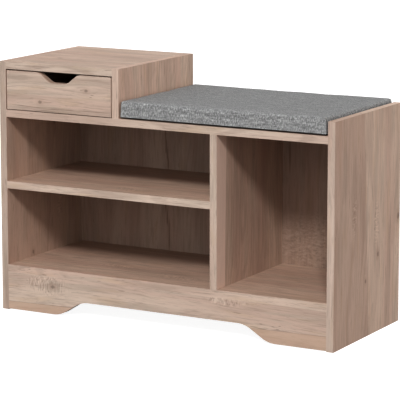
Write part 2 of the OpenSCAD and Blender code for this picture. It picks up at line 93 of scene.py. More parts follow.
def add_room():
    """A pale room, which looks white and lights the bench softly, with more light from the front."""
    room = bpy.data.worlds.new("pale_room")
    room.use_nodes = True
    tree = room.node_tree
    way = add(tree, "TexCoord").outputs["Generated"]
    from_above = maths(tree, "MAXIMUM", along(tree, "DOT_PRODUCT", way, (0, 0, 1)), 0.0)
    from_front = maths(tree, "MAXIMUM", along(tree, "DOT_PRODUCT", way, (0, -1, 0)), 0.0)
    power = maths(tree, "ADD", times(tree, from_above, ROOM_ABOVE), ROOM_STRENGTH)
    power = maths(tree, "ADD", times(tree, from_front, ROOM_FRONT), power)
    background = tree.nodes["Background"].inputs
    background["Color"].default_value = rgb(1, 1, 1)
    seen = add(tree, "LightPath").outputs["Is Camera Ray"]
    feed(tree, mix(tree, "FLOAT", seen, power, 1.0), background["Strength"])
    bpy.context.scene.world = room
    bpy.context.scene.view_settings.view_transform = "Standard"
    bpy.context.scene.view_settings.gamma = PRINT_CONTRAST


def add_floor():
    bpy.ops.mesh.primitive_plane_add(size=FLOOR_SIZE)
    floor = bpy.context.object
    floor.name = "studio_floor"
    material, tree, surface = new_material("studio_floor", 1.0)
    surface["Specular IOR Level"].default_value = 0.0
    surface["Base Color"].default_value = rgb(FLOOR_GREY, FLOOR_GREY, FLOOR_GREY)
    surface["Emission Color"].default_value = rgb(1, 1, 1)
    seen = add(tree, "LightPath").outputs["Is Camera Ray"]
    feed(tree, times(tree, seen, FLOOR_GLOW), surface["Emission Strength"])
    dress(floor, material)


# ---------------------------------------------------------------- shader nodes, by hand

def feed(tree, value, socket):
    """Links an output to an input, or sets the input's own value."""
    if isinstance(value, bpy.types.NodeSocket):
        tree.links.new(value, socket)
    elif value is not None:
        socket.default_value = value


def add(tree, kind, feeds=(), **settings):
    """Adds a shader node with its settings, and feeds its inputs by name or number."""
    node = tree.nodes.new("ShaderNode" + kind)
    for name, value in settings.items():
        setattr(node, name, value)
    for name, value in dict(feeds).items():
        feed(tree, value, node.inputs[name])
    return node


def maths(tree, operation, *values):
    node = add(tree, "Math", operation=operation)
    for value, socket in zip(values, node.inputs):
        feed(tree, value, socket)
    return node.outputs[0]


def times(tree, a, b):
    return maths(tree, "MULTIPLY", a, b)


def along(tree, operation, *values):
    """Vector maths; a length or a dot product comes out as a number."""
    node = add(tree, "VectorMath", operation=operation)
    for value, socket in zip(values, node.inputs):
        feed(tree, value, socket)
    return node.outputs["Value" if operation in ("LENGTH", "DOT_PRODUCT") else "Vector"]


def soft_step(tree, value, low, high, start=0.0, end=1.0):
    """start below low, end above high, and a smooth rise between them."""
    feeds = {"Value": value, "From Min": low, "From Max": high, "To Min": start, "To Max": end}
    return add(tree, "MapRange", feeds, interpolation_type="SMOOTHSTEP").outputs["Result"]


def noise(tree, vector, scale, detail=2.0, roughness=0.5):
    feeds = {"Vector": vector, "Scale": scale, "Detail": detail, "Roughness": roughness}
    return add(tree, "TexNoise", feeds).outputs["Fac"]


def mix(tree, kind, factor, a, b, how="MIX"):
    """Goes from a to b as the factor goes from 0 to 1; kind is FLOAT, VECTOR or RGBA."""
    node = add(tree, "Mix", data_type=kind, blend_type=how)
    for name, value in (("Factor", factor), ("A", a), ("B", b)):
        feed(tree, value, node.inputs[name])
    return node.outputs["Result"]


def blend_colour(tree, factor, a, b, how="MIX"):
    return mix(tree, "RGBA", factor, a, b, how)


def shaded(tree, value, low, high, dark, pale):
    """Dark where the value is low, pale where it is high, and a smooth change between them."""
    return blend_colour(tree, soft_step(tree, value, low, high), dark, pale)


def finish(tree, surface, colour, roughness, height, strength, distance):
    """Feeds a surface. It rises and sinks with the height, by up to that distance."""
    feed(tree, colour, surface["Base Color"])
    feed(tree, roughness, surface["Roughness"])
    bump = add(tree, "Bump", {"Strength": strength, "Distance": distance, "Height": height})
    feed(tree, bump.outputs["Normal"], surface["Normal"])


def rgb(red, green, blue):
    return (red, green, blue, 1.0)


def shader_group(name, inputs, outputs):
    """A new shader node group: its tree, what comes in, and the sockets that go out."""
    tree = bpy.data.node_groups.new(name, "ShaderNodeTree")
    for label, kind, value in inputs:
        socket = tree.interface.new_socket(label, in_out="INPUT", socket_type="NodeSocket" + kind)
        if value is not None:
            socket.default_value = value
    for label, kind in outputs:
        tree.interface.new_socket(label, in_out="OUTPUT", socket_type="NodeSocket" + kind)
    return tree, tree.nodes.new("NodeGroupInput").outputs, tree.nodes.new("NodeGroupOutput").inputs


def use(tree, group, **feeds):
    """Places a node group; an input called Saw Marks is fed as Saw_Marks."""
    node = add(tree, "Group", node_tree=group)
    for name, value in feeds.items():
        feed(tree, value, node.inputs[name.replace("_", " ")])
    return node.outputs


def new_material(name, roughness=0.5):
    material = bpy.data.materials.new(name)
    material.use_nodes = True
    shader = material.node_tree.nodes["Principled BSDF"]
    shader.inputs["Roughness"].default_value = roughness
    return material, material.node_tree, shader.inputs


def dress(piece, material):
    """The material goes on the piece in place of what it had."""
    if not piece.material_slots:
        piece.data.materials.append(material)
    for slot in piece.material_slots:
        slot.material = material


# ---------------------------------------------------------------- oak: what its materials share

# Rows that turn the frame so that the grain runs along X, with the board's width along Y.
LIES_FLAT = ((1, 0, 0), (0, 1, 0), (0, 0, 1))
LIES_BACKWARDS = ((0, 1, 0), (-1, 0, 0), (0, 0, 1))
FACES_FRONT = ((1, 0, 0), (0, 0, 1), (0, -1, 0))
STANDS_SIDEWAYS = ((0, 0, 1), (0, 1, 0), (-1, 0, 0))
STANDS_ACROSS = ((0, 0, 1), (1, 0, 0), (0, 1, 0))
RUNS_BACK = ((0, 1, 0), (0, 0, 1), (1, 0, 0))

EASED_EDGE = 0.0004       # how far the corners of the visible boards are rounded over

OAK_PALE = rgb(0.560, 0.450, 0.365)
OAK_ROSY = rgb(0.515, 0.385, 0.310)
OAK_GREY = rgb(0.430, 0.355, 0.285)
OAK_HONEY = rgb(0.500, 0.375, 0.265)
OAK_DUN = rgb(0.350, 0.262, 0.208)
OAK_DARK = rgb(0.235, 0.170, 0.132)
OAK_RED = rgb(0.360, 0.240, 0.185)
OAK_BLEACHED = rgb(0.760, 0.610, 0.520)
OAK_AMBER = rgb(0.478, 0.330, 0.238)
OAK_SHADE_AND_DARK_PRINT = rgb(0.270, 0.215, 0.170)
OAK_WEAR_AND_HIGHLIGHT = rgb(0.680, 0.560, 0.460)
SAWN_PALE = rgb(0.660, 0.540, 0.440)
SAWN_DARK = rgb(0.300, 0.220, 0.170)
CRACK_BROWN = rgb(0.120, 0.080, 0.060)
STROKE_BROWN = rgb(0.190, 0.130, 0.100)
JOINT_BROWN = rgb(0.260, 0.180, 0.140)
KNOT_RING = rgb(0.420, 0.300, 0.230)
KNOT_HEART = rgb(0.190, 0.140, 0.110)
FRONT_PAINTED_LIGHT = rgb(1.07, 1.09, 1.13)     # painted light: faces that look forward are a little paler than the boards' broad faces, which are warmer
BROAD_FACE_TINT = rgb(1.03, 0.975, 0.970)    # than the boards' broad faces, which are warmer


def make_knot_group():
    """A small knot: the grain parts round it, and its heart is dark."""
    tree, give, take = shader_group(
        "oak_knot",
        [("Vector", "Vector", None), ("Place", "Vector", None), ("Size", "Float", 0.004)],
        [("Vector", "Vector"), ("Heart", "Float"), ("Ring", "Float")],
    )
    away = along(tree, "SUBTRACT", give["Vector"], give["Place"])

    def rings(squash):
        """How far away in knot sizes, on rings that are longer along the grain."""
        far = along(tree, "LENGTH", along(tree, "MULTIPLY", away, (squash, 1, 0)))
        return maths(tree, "DIVIDE", far, give["Size"])

    near = rings(0.22)
    bulge = maths(tree, "EXPONENT", times(tree, times(tree, near, near), -0.12))
    across = add(tree, "SeparateXYZ", {"Vector": away}).outputs["Y"]
    pushed = times(tree, times(tree, across, bulge), -0.7)
    shift = add(tree, "CombineXYZ", {"Y": pushed}).outputs["Vector"]
    feed(tree, along(tree, "ADD", give["Vector"], shift), take["Vector"])
    ragged = maths(tree, "ADD", rings(0.7), times(tree, noise(tree, give["Vector"], 420.0), 0.9))
    feed(tree, soft_step(tree, ragged, 0.9, 1.6, 1.0, 0.0), take["Heart"])
    feed(tree, soft_step(tree, ragged, 1.4, 3.6, 1.0, 0.0), take["Ring"])
    return tree


def make_patch_group():
    """A soft-edged patch of a board."""
    tree, give, take = shader_group(
        "board_patch",
        [("Vector", "Vector", None), ("Place", "Vector", None), ("Reach", "Vector", None)],
        [("Patch", "Float")],
    )
    away = along(tree, "DIVIDE", along(tree, "SUBTRACT", give["Vector"], give["Place"]), give["Reach"])
    flat = along(tree, "LENGTH", along(tree, "MULTIPLY", away, (1, 1, 0)))
    ragged = maths(tree, "ADD", flat, times(tree, noise(tree, give["Vector"], 30.0, 3.0), 0.9))
    feed(tree, soft_step(tree, ragged, 0.9, 1.6, 1.0, 0.0), take["Patch"])
    return tree


def make_oak_group():
    """The printed oak: broad bands, flames, streaks, strokes, open pores, short cracks and saw marks."""
    tree, give, take = shader_group(
        "printed_oak",
        [
            ("Vector", "Vector", None),
            ("Face", "Vector", None),
            ("Board", "Float", 0.0),
            ("Tone", "Float", 1.0),
            ("Saw Marks", "Float", 0.0),
            ("Cracks", "Float", 0.0),
            ("Streaks", "Float", 1.0),
        ],
        [("Colour", "Color"), ("Roughness", "Float"), ("Height", "Float")],
    )

    def grain(length, width, detail=2.0, roughness=0.5):
        """Noise in cells of that length along the grain and that width across it."""
        cells = along(tree, "MULTIPLY", wood, (1 / length, 1 / width, 1 / width))
        return noise(tree, cells, 1.0, detail, roughness)

    def tint(factor, colour):
        return blend_colour(tree, factor, base, colour)

    place = add(tree, "SeparateXYZ", {"Vector": give["Vector"]}).outputs
    banded = add(tree, "CombineXYZ", {"X": place["Y"], "Y": place["Z"], "Z": place["X"]}).outputs["Vector"]
    facing = add(tree, "SeparateXYZ", {"Vector": give["Face"]}).outputs["X"]
    end = maths(tree, "GREATER_THAN", maths(tree, "ABSOLUTE", facing), 0.7)
    apart = along(tree, "SCALE", (3.1, 1.7, 2.3))
    feed(tree, give["Board"], apart.node.inputs["Scale"])
    wood = along(tree, "ADD", mix(tree, "VECTOR", end, give["Vector"], banded), apart)

    # The grain wanders a little off the straight line.
    drift = times(tree, maths(tree, "SUBTRACT", grain(0.6, 0.11), 0.5), 0.05)
    wood = along(tree, "ADD", wood, add(tree, "CombineXYZ", {"Y": drift, "Z": drift}).outputs["Vector"])

    base = blend_colour(tree, soft_step(tree, grain(0.9, 0.06, 3.0, 0.55), 0.36, 0.62), OAK_ROSY, OAK_PALE)
    base = tint(soft_step(tree, grain(0.16, 0.024), 0.50, 0.66, 0.0, 0.50), OAK_GREY)
    base = tint(soft_step(tree, grain(0.12, 0.018), 0.54, 0.70, 0.0, 0.45), OAK_HONEY)
    base = tint(soft_step(tree, grain(0.28, 0.030), 0.48, 0.66, 0.0, 0.35), OAK_DUN)
    streak = grain(0.085, 0.0034, 3.0, 0.62)
    dark_streak = soft_step(tree, streak, 0.50, 0.68, 0.0, 0.75)
    pale_streak = soft_step(tree, streak, 0.26, 0.44, 0.55, 0.0)
    base = tint(times(tree, dark_streak, give["Streaks"]), OAK_DUN)
    base = tint(times(tree, pale_streak, give["Streaks"]), OAK_PALE)

    swell = times(tree, grain(0.45, 0.09), 52.0)
    across = add(tree, "SeparateXYZ", {"Vector": wood}).outputs["Y"]
    flame = maths(tree, "SINE", maths(tree, "ADD", times(tree, across, 420.0), swell))
    flame_here = soft_step(tree, grain(0.5, 0.14, 1.0), 0.46, 0.62)
    dark_flame = times(tree, soft_step(tree, flame, 0.2, 1.0), flame_here)
    base = tint(times(tree, dark_flame, 0.34), OAK_DUN)

    stroke = soft_step(tree, grain(0.034, 0.0019, 2.0, 0.6), 0.62, 0.70)
    base = tint(times(tree, times(tree, stroke, 0.6), give["Streaks"]), OAK_DARK)
    fibre = grain(0.06, 0.0011, 3.0, 0.6)
    pores = soft_step(tree, fibre, 0.60, 0.72)
    base = tint(times(tree, pores, 0.32), OAK_DARK)

    # Short dark cracks along the grain.
    crack = times(tree, soft_step(tree, grain(0.2, 0.0038, 1.0), 0.74, 0.80), give["Cracks"])
    base = tint(crack, CRACK_BROWN)

    # Saw marks: short pale and dark strokes across the grain.
    bent = times(tree, grain(0.02, 0.016), 3.2)
    sawn = along(tree, "MULTIPLY", wood, (270, 92, 92))
    sawn = along(tree, "ADD", sawn, add(tree, "CombineXYZ", {"X": bent}).outputs["Vector"])
    ripple = noise(tree, sawn, 1.0, 1.0)
    high = times(tree, soft_step(tree, ripple, 0.55, 0.65), give["Saw Marks"])
    low = times(tree, soft_step(tree, ripple, 0.35, 0.45, 1.0, 0.0), give["Saw Marks"])
    base = tint(times(tree, high, 0.50), SAWN_PALE)
    base = tint(times(tree, low, 0.55), SAWN_DARK)

    toned = along(tree, "SCALE", base)
    feed(tree, give["Tone"], toned.node.inputs["Scale"])
    feed(tree, toned, take["Colour"])
    feed(tree, soft_step(tree, fibre, 0.3, 0.7, 0.50, 0.62), take["Roughness"])
    grooves = maths(tree, "ADD", times(tree, pores, -0.6), times(tree, streak, 0.35))
    feed(tree, maths(tree, "ADD", grooves, times(tree, high, 0.8)), take["Height"])
    return tree


def make_plank_group():
    """The joint of two planks in the print: a fine dark line, with one side darker than the other."""
    tree, give, take = shader_group(
        "plank_joint",
        [("Vector", "Vector", None), ("Place", "Vector", None), ("Lean", "Float", 0.0)],
        [("Line", "Float"), ("Side", "Float")],
    )
    away = along(tree, "SUBTRACT", give["Vector"], give["Place"])
    away = add(tree, "SeparateXYZ", {"Vector": away}).outputs
    off = maths(tree, "SUBTRACT", away["Y"], times(tree, away["X"], give["Lean"]))
    frayed = times(tree, noise(tree, give["Vector"], 140.0, 3.0), 0.0012)
    off = maths(tree, "ADD", off, frayed)
    feed(tree, soft_step(tree, maths(tree, "ABSOLUTE", off), 0.0004, 0.0012, 1.0, 0.0), take["Line"])
    feed(tree, soft_step(tree, off, -0.001, 0.001, 1.0, 0.0), take["Side"])
    return tree


def make_edge_group():
    """Along a board's corners: a pale line, partly wear and partly painted highlight, and the joint of the
    edge strip beside it.
    """
    tree, give, take = shader_group(
        "board_edges",
        [("Vector", "Vector", None), ("Low", "Vector", None), ("High", "Vector", None)],
        [("Wear And Highlight", "Float"), ("Strip Joint", "Float")],
    )
    from_low = along(tree, "SUBTRACT", give["Vector"], give["Low"])
    from_high = along(tree, "SUBTRACT", give["High"], give["Vector"])
    inward = add(tree, "SeparateXYZ", {"Vector": along(tree, "MINIMUM", from_low, from_high)}).outputs
    small, large = (maths(tree, how, inward["X"], inward["Y"]) for how in ("MINIMUM", "MAXIMUM"))
    to_edge = maths(tree, "MAXIMUM", small, maths(tree, "MINIMUM", large, inward["Z"]))
    rough = times(tree, noise(tree, give["Vector"], 90.0, 4.0, 0.7), 0.0024)
    feed(tree, soft_step(tree, maths(tree, "ADD", to_edge, rough), 0.0009, 0.0022, 1.0, 0.0), take["Wear And Highlight"])
    off = maths(tree, "ABSOLUTE", maths(tree, "SUBTRACT", to_edge, 0.0011))
    feed(tree, soft_step(tree, off, 0.00008, 0.00022, 1.0, 0.0), take["Strip Joint"])
    return tree


def printed_oak(
    node, lie, board, tone=1.0, knots=(), sawn=(), shade_and_print_patches=(), strokes=(), joint=None, cracks=0.35,
    streaks=1.0, front=None, stroke_width=0.0007,
):
    """A board's own oak. Places are on the bench. Knots are (place, size), strokes are (place, length),
    sawn patches and patches of painted shade and dark print are (place, reach along the grain, reach across
    it), and a joint of two planks is (place, lean, colour of the first plank, how much of it). The number of
    the board sets its own part of the print, and front is the tint of the faces that look forward: painted
    light where it is paler than the broad faces, painted shade where it is darker."""
    low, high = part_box(node)
    turn = Matrix(lie)
    material, tree, surface = new_material("oak_" + node)
    coords = add(tree, "TexCoord").outputs
    moved = {
        "Vector": coords["Object"],
        "Location": -(turn @ ((low + high) / 2)),
        "Rotation": turn.to_euler(),
    }
    vector = add(tree, "Mapping", moved).outputs["Vector"]
    facing = {"Vector": coords["Normal"], "Rotation": turn.to_euler()}
    face = add(tree, "Mapping", facing, vector_type="VECTOR").outputs["Vector"]

    def on_board(place):
        at = turn @ (Vector(place) - (low + high) / 2)
        return (at.x, at.y, 0)

    def patches(rows):
        mask = 0.0
        for place, reach_x, reach_y in rows:
            patch = use(tree, patch_group, Vector=vector, Place=on_board(place), Reach=(reach_x, reach_y, 1))
            mask = maths(tree, "MAXIMUM", patch["Patch"], mask)
        return mask

    heart, ring = 0.0, 0.0
    for place, size in knots:
        knot = use(tree, knot_group, Vector=vector, Place=on_board(place), Size=size)
        vector = knot["Vector"]
        heart = maths(tree, "MAXIMUM", knot["Heart"], heart)
        ring = maths(tree, "MAXIMUM", knot["Ring"], ring)
    saw_marks = patches(sawn)
    oak = use(
        tree, oak_group, Vector=vector, Face=face, Board=board, Tone=tone, Saw_Marks=saw_marks,
        Cracks=cracks, Streaks=streaks,
    )
    edges = use(tree, edge_group, Vector=coords["Object"], Low=low, High=high)
    colour = oak["Colour"]

    def lay(paint, mask, amount):
        return blend_colour(tree, times(tree, mask, amount), colour, paint)

    to_front = soft_step(tree, along(tree, "DOT_PRODUCT", coords["Normal"], (0, -1, 0)), 0.5, 0.8)
    if joint:
        place, lean, paint, amount = joint
        plank = use(tree, plank_group, Vector=vector, Place=on_board(place), Lean=lean)
        beside, ahead = (0.0, amount) if lie == FACES_FRONT else (amount, 0.0)
        colour = lay(paint, plank["Side"], soft_step(tree, to_front, 0.0, 1.0, beside, ahead))
        colour = lay(JOINT_BROWN, plank["Line"], 0.35)
    if shade_and_print_patches:
        # Patches of painted shade at the backs of the bays, and of darker print round knots, in bands and
        # along edges.
        colour = lay(OAK_SHADE_AND_DARK_PRINT, patches(shade_and_print_patches), 0.30)
    if strokes:
        colour = lay(STROKE_BROWN, patches([(*stroke, stroke_width) for stroke in strokes]), 0.75)
    if knots:
        colour = lay(KNOT_RING, ring, 0.35)
        colour = lay(KNOT_HEART, heart, 0.65)
    colour = lay(SAWN_DARK, edges["Strip Joint"], 0.35)
    # A pale line along the corners: partly wear, partly painted highlight.
    colour = lay(OAK_WEAR_AND_HIGHLIGHT, edges["Wear And Highlight"], 0.25)
    # Faces that look forward get the front tint, which is painted light (painted shade on the left panel);
    # the rest get the broad faces' tint.
    painted_front_light = blend_colour(tree, to_front, BROAD_FACE_TINT, front or FRONT_PAINTED_LIGHT)
    colour = blend_colour(tree, 1.0, colour, painted_front_light, how="MULTIPLY")
    finish(tree, surface, colour, oak["Roughness"], oak["Height"], 0.35, 0.0004)
    dress(nodes[node], material)
    return material


def ease_edges(node):
    """Merges the node's loose triangles into clean faces and rounds its corners over slightly."""
    piece = nodes[node]
    weld = piece.modifiers.new("weld", "WELD")
    weld.merge_threshold = 0.00001
    flat = piece.modifiers.new("flat_faces", "DECIMATE")
    flat.decimate_type = "DISSOLVE"
    flat.angle_limit = math.radians(1)
    bevel = piece.modifiers.new("eased_edge", "BEVEL")
    bevel.width = EASED_EDGE
    bevel.segments = 2
    bevel.limit_method = "ANGLE"
    bevel.angle_limit = math.radians(40)
    bevel.harden_normals = True


def make_oak_boards():
    printed_oak(
        # front darkens the forward edge: painted shade.
        "side_panel_left", STANDS_SIDEWAYS, 1.0, 1.10, front=rgb(0.870, 0.887, 0.920),
        # The first patch is painted shade on the back of the inner face, where the bay is in shadow.
        shade_and_print_patches=[((-0.384, 0.075, 0.25), 0.35, 0.14), ((-0.384, -0.06, 0.35), 0.035, 0.022)],
        knots=[((-0.4, 0.03, 0.39), 0.005), ((-0.4, -0.06, 0.11), 0.004)],
        sawn=[((-0.4, 0.05, 0.20), 0.05, 0.014)], joint=((-0.4, 0.0, 0.11), 0.12, OAK_RED, 0.30), streaks=0.6,
    )
    printed_oak(
        # front tints the forward edge: painted light.
        "side_panel_right", STANDS_SIDEWAYS, 2.0, 1.10, front=rgb(0.987, 1.006, 1.055),
        knots=[((0.4, -0.0085, 0.118), 0.0035), ((0.4, 0.051, 0.165), 0.0045), ((0.4, 0.151, 0.2295), 0.006)],
        sawn=[((0.4, -0.065, 0.266), 0.050, 0.012), ((0.4, 0.042, 0.232), 0.045, 0.012)],
        shade_and_print_patches=[((0.4, 0.111, 0.17), 0.12, 0.005), ((0.4, -0.11, 0.36), 0.08, 0.012)],
        strokes=[((0.4, -0.1535, 0.233), 0.006), ((0.4, 0.02, 0.30), 0.02), ((0.4, 0.09, 0.12), 0.016)],
        joint=((0.4, -0.0066, 0.235), -0.063, OAK_RED, 0.34), streaks=0.6,
    )
    printed_oak(
        "bay_wall", STANDS_SIDEWAYS, 3.0, 1.12, cracks=0.6, streaks=0.8,
        shade_and_print_patches=[((-0.102, 0.152, 0.51), 0.09, 0.022)],
        strokes=[
            ((-0.102, -0.066, 0.511), 0.02), ((-0.102, -0.095, 0.495), 0.024),
            ((-0.102, -0.082, 0.497), 0.02), ((-0.102, -0.002, 0.498), 0.02),
        ],
    )
    printed_oak(
        "divider", STANDS_SIDEWAYS, 4.0, 0.97, streaks=0.7,
        joint=((0.132, -0.118, 0.26), 0.02, OAK_BLEACHED, 0.68),
    )
    printed_oak("seat_board", LIES_FLAT, 5.0, streaks=0.7)
    printed_oak(
        "top_board", LIES_FLAT, 6.0,
        knots=[((-0.315, -0.0515, 0.544), 0.005), ((-0.355, -0.135, 0.544), 0.003)],
        shade_and_print_patches=[((-0.317, -0.134, 0.544), 0.022, 0.012), ((-0.20, 0.03, 0.544), 0.06, 0.02)],
    )
    printed_oak(
        "middle_shelf", LIES_FLAT, 7.0, 1.08, streaks=0.8,
        # The patch is painted shade on the back of the shelf, in the shadow of the board above.
        sawn=[((-0.105, -0.115, 0.284), 0.04, 0.02)], shade_and_print_patches=[((-0.10, 0.092, 0.284), 0.60, 0.12)],
    )
    printed_oak(
        "bottom_shelf", LIES_FLAT, 8.0, 1.05,
        sawn=[((0.01, -0.096, 0.1), 0.06, 0.02), ((-0.163, -0.056, 0.1), 0.05, 0.02)],
        # The patch is painted shade on the back of the left bay's bottom shelf.
        shade_and_print_patches=[((-0.16, 0.105, 0.1), 0.27, 0.12)],
    )
    printed_oak(
        "apron", FACES_FRONT, 9.0, streaks=0.75,
        joint=((0.25, -0.159, 0.030), 0.016, OAK_AMBER, 0.6),
        knots=[((-0.270, -0.159, 0.062), 0.0042)],
        shade_and_print_patches=[((-0.270, -0.159, 0.062), 0.024, 0.013)],
        sawn=[((-0.285, -0.159, 0.064), 0.058, 0.022), ((0.151, -0.159, 0.079), 0.055, 0.011)],
        strokes=[
            ((0.220, -0.159, 0.0325), 0.011), ((0.238, -0.159, 0.0305), 0.014),
            ((0.284, -0.159, 0.0315), 0.026), ((0.236, -0.159, 0.0405), 0.004),
            ((0.2636, -0.159, 0.0376), 0.004), ((0.2787, -0.159, 0.0408), 0.004),
            ((0.2739, -0.159, 0.0335), 0.005), ((0.18, -0.159, 0.0570), 0.012),
        ],
    )
    printed_oak(
        "drawer_front", FACES_FRONT, 10.0, 1.03, streaks=0.75,
        knots=[((-0.297, -0.159, 0.462), 0.0038), ((-0.1814, -0.159, 0.4935), 0.0036)],
        shade_and_print_patches=[((-0.235, -0.159, 0.4475), 0.20, 0.0085), ((-0.36, -0.159, 0.512), 0.05, 0.007)],
        strokes=[
            ((-0.1666, -0.159, 0.488), 0.005), ((-0.170, -0.159, 0.482), 0.004),
            ((-0.33, -0.159, 0.4525), 0.05), ((-0.25, -0.159, 0.4495), 0.06),
            ((-0.17, -0.159, 0.4500), 0.05), ((-0.29, -0.159, 0.4450), 0.03),
        ],
    )
    printed_oak("drawer_back", FACES_FRONT, 11.0)
    printed_oak("drawer_side_left", RUNS_BACK, 12.0)
    printed_oak("drawer_side_right", RUNS_BACK, 13.0)


# ---------------------------------------------------------------- hardboard, fittings, foam and cloth

def raw_side(material, facing):
    """The back of a printed panel is plain brown fibre; facing points out of it."""
    tree = material.node_tree
    surface = tree.nodes["Principled BSDF"].inputs
    coords = add(tree, "TexCoord").outputs
    fibre = noise(tree, coords["Object"], 1700.0, 3.0, 0.6)
    blotch = noise(tree, coords["Object"], 25.0, 3.0)
    brown = shaded(tree, fibre, 0.3, 0.7, rgb(0.24, 0.155, 0.095), rgb(0.40, 0.28, 0.185))
    brown = blend_colour(tree, soft_step(tree, blotch, 0.4, 0.7, 0.0, 0.25), brown, rgb(0.44, 0.315, 0.215))
    behind = soft_step(tree, along(tree, "DOT_PRODUCT", coords["Normal"], facing), 0.4, 0.6)
    for name, kind, value in (("Base Color", "RGBA", brown), ("Roughness", "FLOAT", 0.86)):
        printed = surface[name].links[0].from_socket
        feed(tree, mix(tree, kind, behind, printed, value), surface[name])


def make_hardboard():
    back = printed_oak(
        "back_panel", STANDS_ACROSS, 14.0, 0.74, front=BROAD_FACE_TINT, streaks=0.6, stroke_width=0.0025,
        sawn=[((0.25, 0.139, 0.15), 0.075, 0.16), ((0.04, 0.139, 0.17), 0.03, 0.03)],
        # The patch is painted shade on the lower right of the back, inside the right bay.
        shade_and_print_patches=[((0.25, 0.139, 0.15), 0.09, 0.16)],
        strokes=[
            ((-0.1612, 0.139, 0.380), 0.042), ((-0.1592, 0.139, 0.336), 0.020),
            ((-0.1562, 0.139, 0.316), 0.018), ((-0.1540, 0.139, 0.296), 0.020),
            ((-0.1608, 0.139, 0.221), 0.042), ((-0.1570, 0.139, 0.176), 0.021),
            ((-0.1520, 0.139, 0.132), 0.040), ((0.149, 0.139, 0.345), 0.05),
        ],
    )
    raw_side(back, (0, 1, 0))
    raw_side(printed_oak("bay_back_panel", STANDS_ACROSS, 15.0, 0.8), (0, 1, 0))
    raw_side(printed_oak("drawer_bottom", LIES_BACKWARDS, 16.0, 0.9), (0, 0, -1))
    raw_side(printed_oak("cushion_board", LIES_FLAT, 17.0, 0.7), (0, 0, -1))


def zinc():
    """Satin zinc plating: cloudy, with fine scratches."""
    material, tree, surface = new_material("zinc_plating")
    place = add(tree, "TexCoord").outputs["Object"]
    cloud = noise(tree, place, 160.0, 3.0)
    scratch = noise(tree, along(tree, "MULTIPLY", place, (350, 2600, 2600)), 1.0, 2.0)
    surface["Metallic"].default_value = 1.0
    colour = shaded(tree, cloud, 0.35, 0.7, rgb(0.52, 0.53, 0.55), rgb(0.68, 0.68, 0.66))
    dull = soft_step(tree, maths(tree, "ADD", cloud, scratch), 0.7, 1.3, 0.26, 0.46)
    finish(tree, surface, colour, dull, scratch, 0.2, 0.0001)
    return material


def beech(name, turn):
    """Plain beech dowel wood, its grain along the dowel, with short dark flecks."""
    material, tree, surface = new_material(name)
    coords = add(tree, "TexCoord").outputs
    lie = {"Vector": coords["Object"], "Rotation": turn}
    place = add(tree, "Mapping", lie).outputs["Vector"]
    grain = noise(tree, along(tree, "MULTIPLY", place, (40, 900, 900)), 1.0, 3.0)
    fleck = soft_step(tree, noise(tree, along(tree, "MULTIPLY", place, (350, 2500, 2500)), 1.0), 0.62, 0.70)
    colour = shaded(tree, grain, 0.3, 0.7, rgb(0.50, 0.32, 0.17), rgb(0.66, 0.47, 0.28))
    colour = blend_colour(tree, times(tree, fleck, 0.6), colour, rgb(0.30, 0.17, 0.09))
    dull = soft_step(tree, grain, 0.3, 0.7, 0.6, 0.75)
    finish(tree, surface, colour, dull, grain, 0.3, 0.0002)
    return material


def white_nylon():
    """Moulded white plastic: a fine matt texture and faint flow marks."""
    material, tree, surface = new_material("white_nylon")
    place = add(tree, "TexCoord").outputs["Object"]
    flow = noise(tree, along(tree, "MULTIPLY", place, (60, 220, 220)), 1.0, 2.0)
    spark = noise(tree, place, 3200.0, 1.0)
    colour = shaded(tree, flow, 0.35, 0.7, rgb(0.74, 0.74, 0.71), rgb(0.82, 0.82, 0.80))
    dull = soft_step(tree, flow, 0.3, 0.7, 0.38, 0.52)
    finish(tree, surface, colour, dull, spark, 0.25, 0.0001)
    return material


def runner_paint():
    """White powder coat, with orange peel and a grey worn line where the rollers run."""
    material, tree, surface = new_material("runner_paint")
    place = add(tree, "TexCoord").outputs["Object"]
    peel = noise(tree, place, 1100.0, 2.0)
    worn = noise(tree, along(tree, "MULTIPLY", place, (700, 30, 700)), 1.0, 3.0)
    worn = soft_step(tree, worn, 0.58, 0.72, 0.0, 0.6)
    colour = blend_colour(tree, worn, rgb(0.76, 0.76, 0.74), rgb(0.50, 0.50, 0.50))
    dull = soft_step(tree, peel, 0.3, 0.7, 0.30, 0.42)
    finish(tree, surface, colour, dull, peel, 0.3, 0.0001)
    return material


def black_fibre(name, cell):
    """Black pressed cloth or hook tape: matted fibres on a mesh of dots that far apart."""
    material, tree, surface = new_material(name, 0.95)
    place = add(tree, "TexCoord").outputs["Object"]
    fluff = noise(tree, place, 2600.0, 4.0, 0.75)
    mesh = {"Vector": place, "Scale": 1 / cell, "Randomness": 0.25}
    dots = add(tree, "TexVoronoi", mesh).outputs["Distance"]
    shade = maths(tree, "ADD", times(tree, fluff, 0.6), times(tree, dots, 0.4))
    colour = shaded(tree, shade, 0.25, 0.75, rgb(0.008, 0.008, 0.009), rgb(0.045, 0.045, 0.048))
    dull = soft_step(tree, fluff, 0.3, 0.7, 0.85, 1.0)
    finish(tree, surface, colour, dull, shade, 0.6, 0.0003)
    surface["Specular IOR Level"].default_value = 0.2
    return material


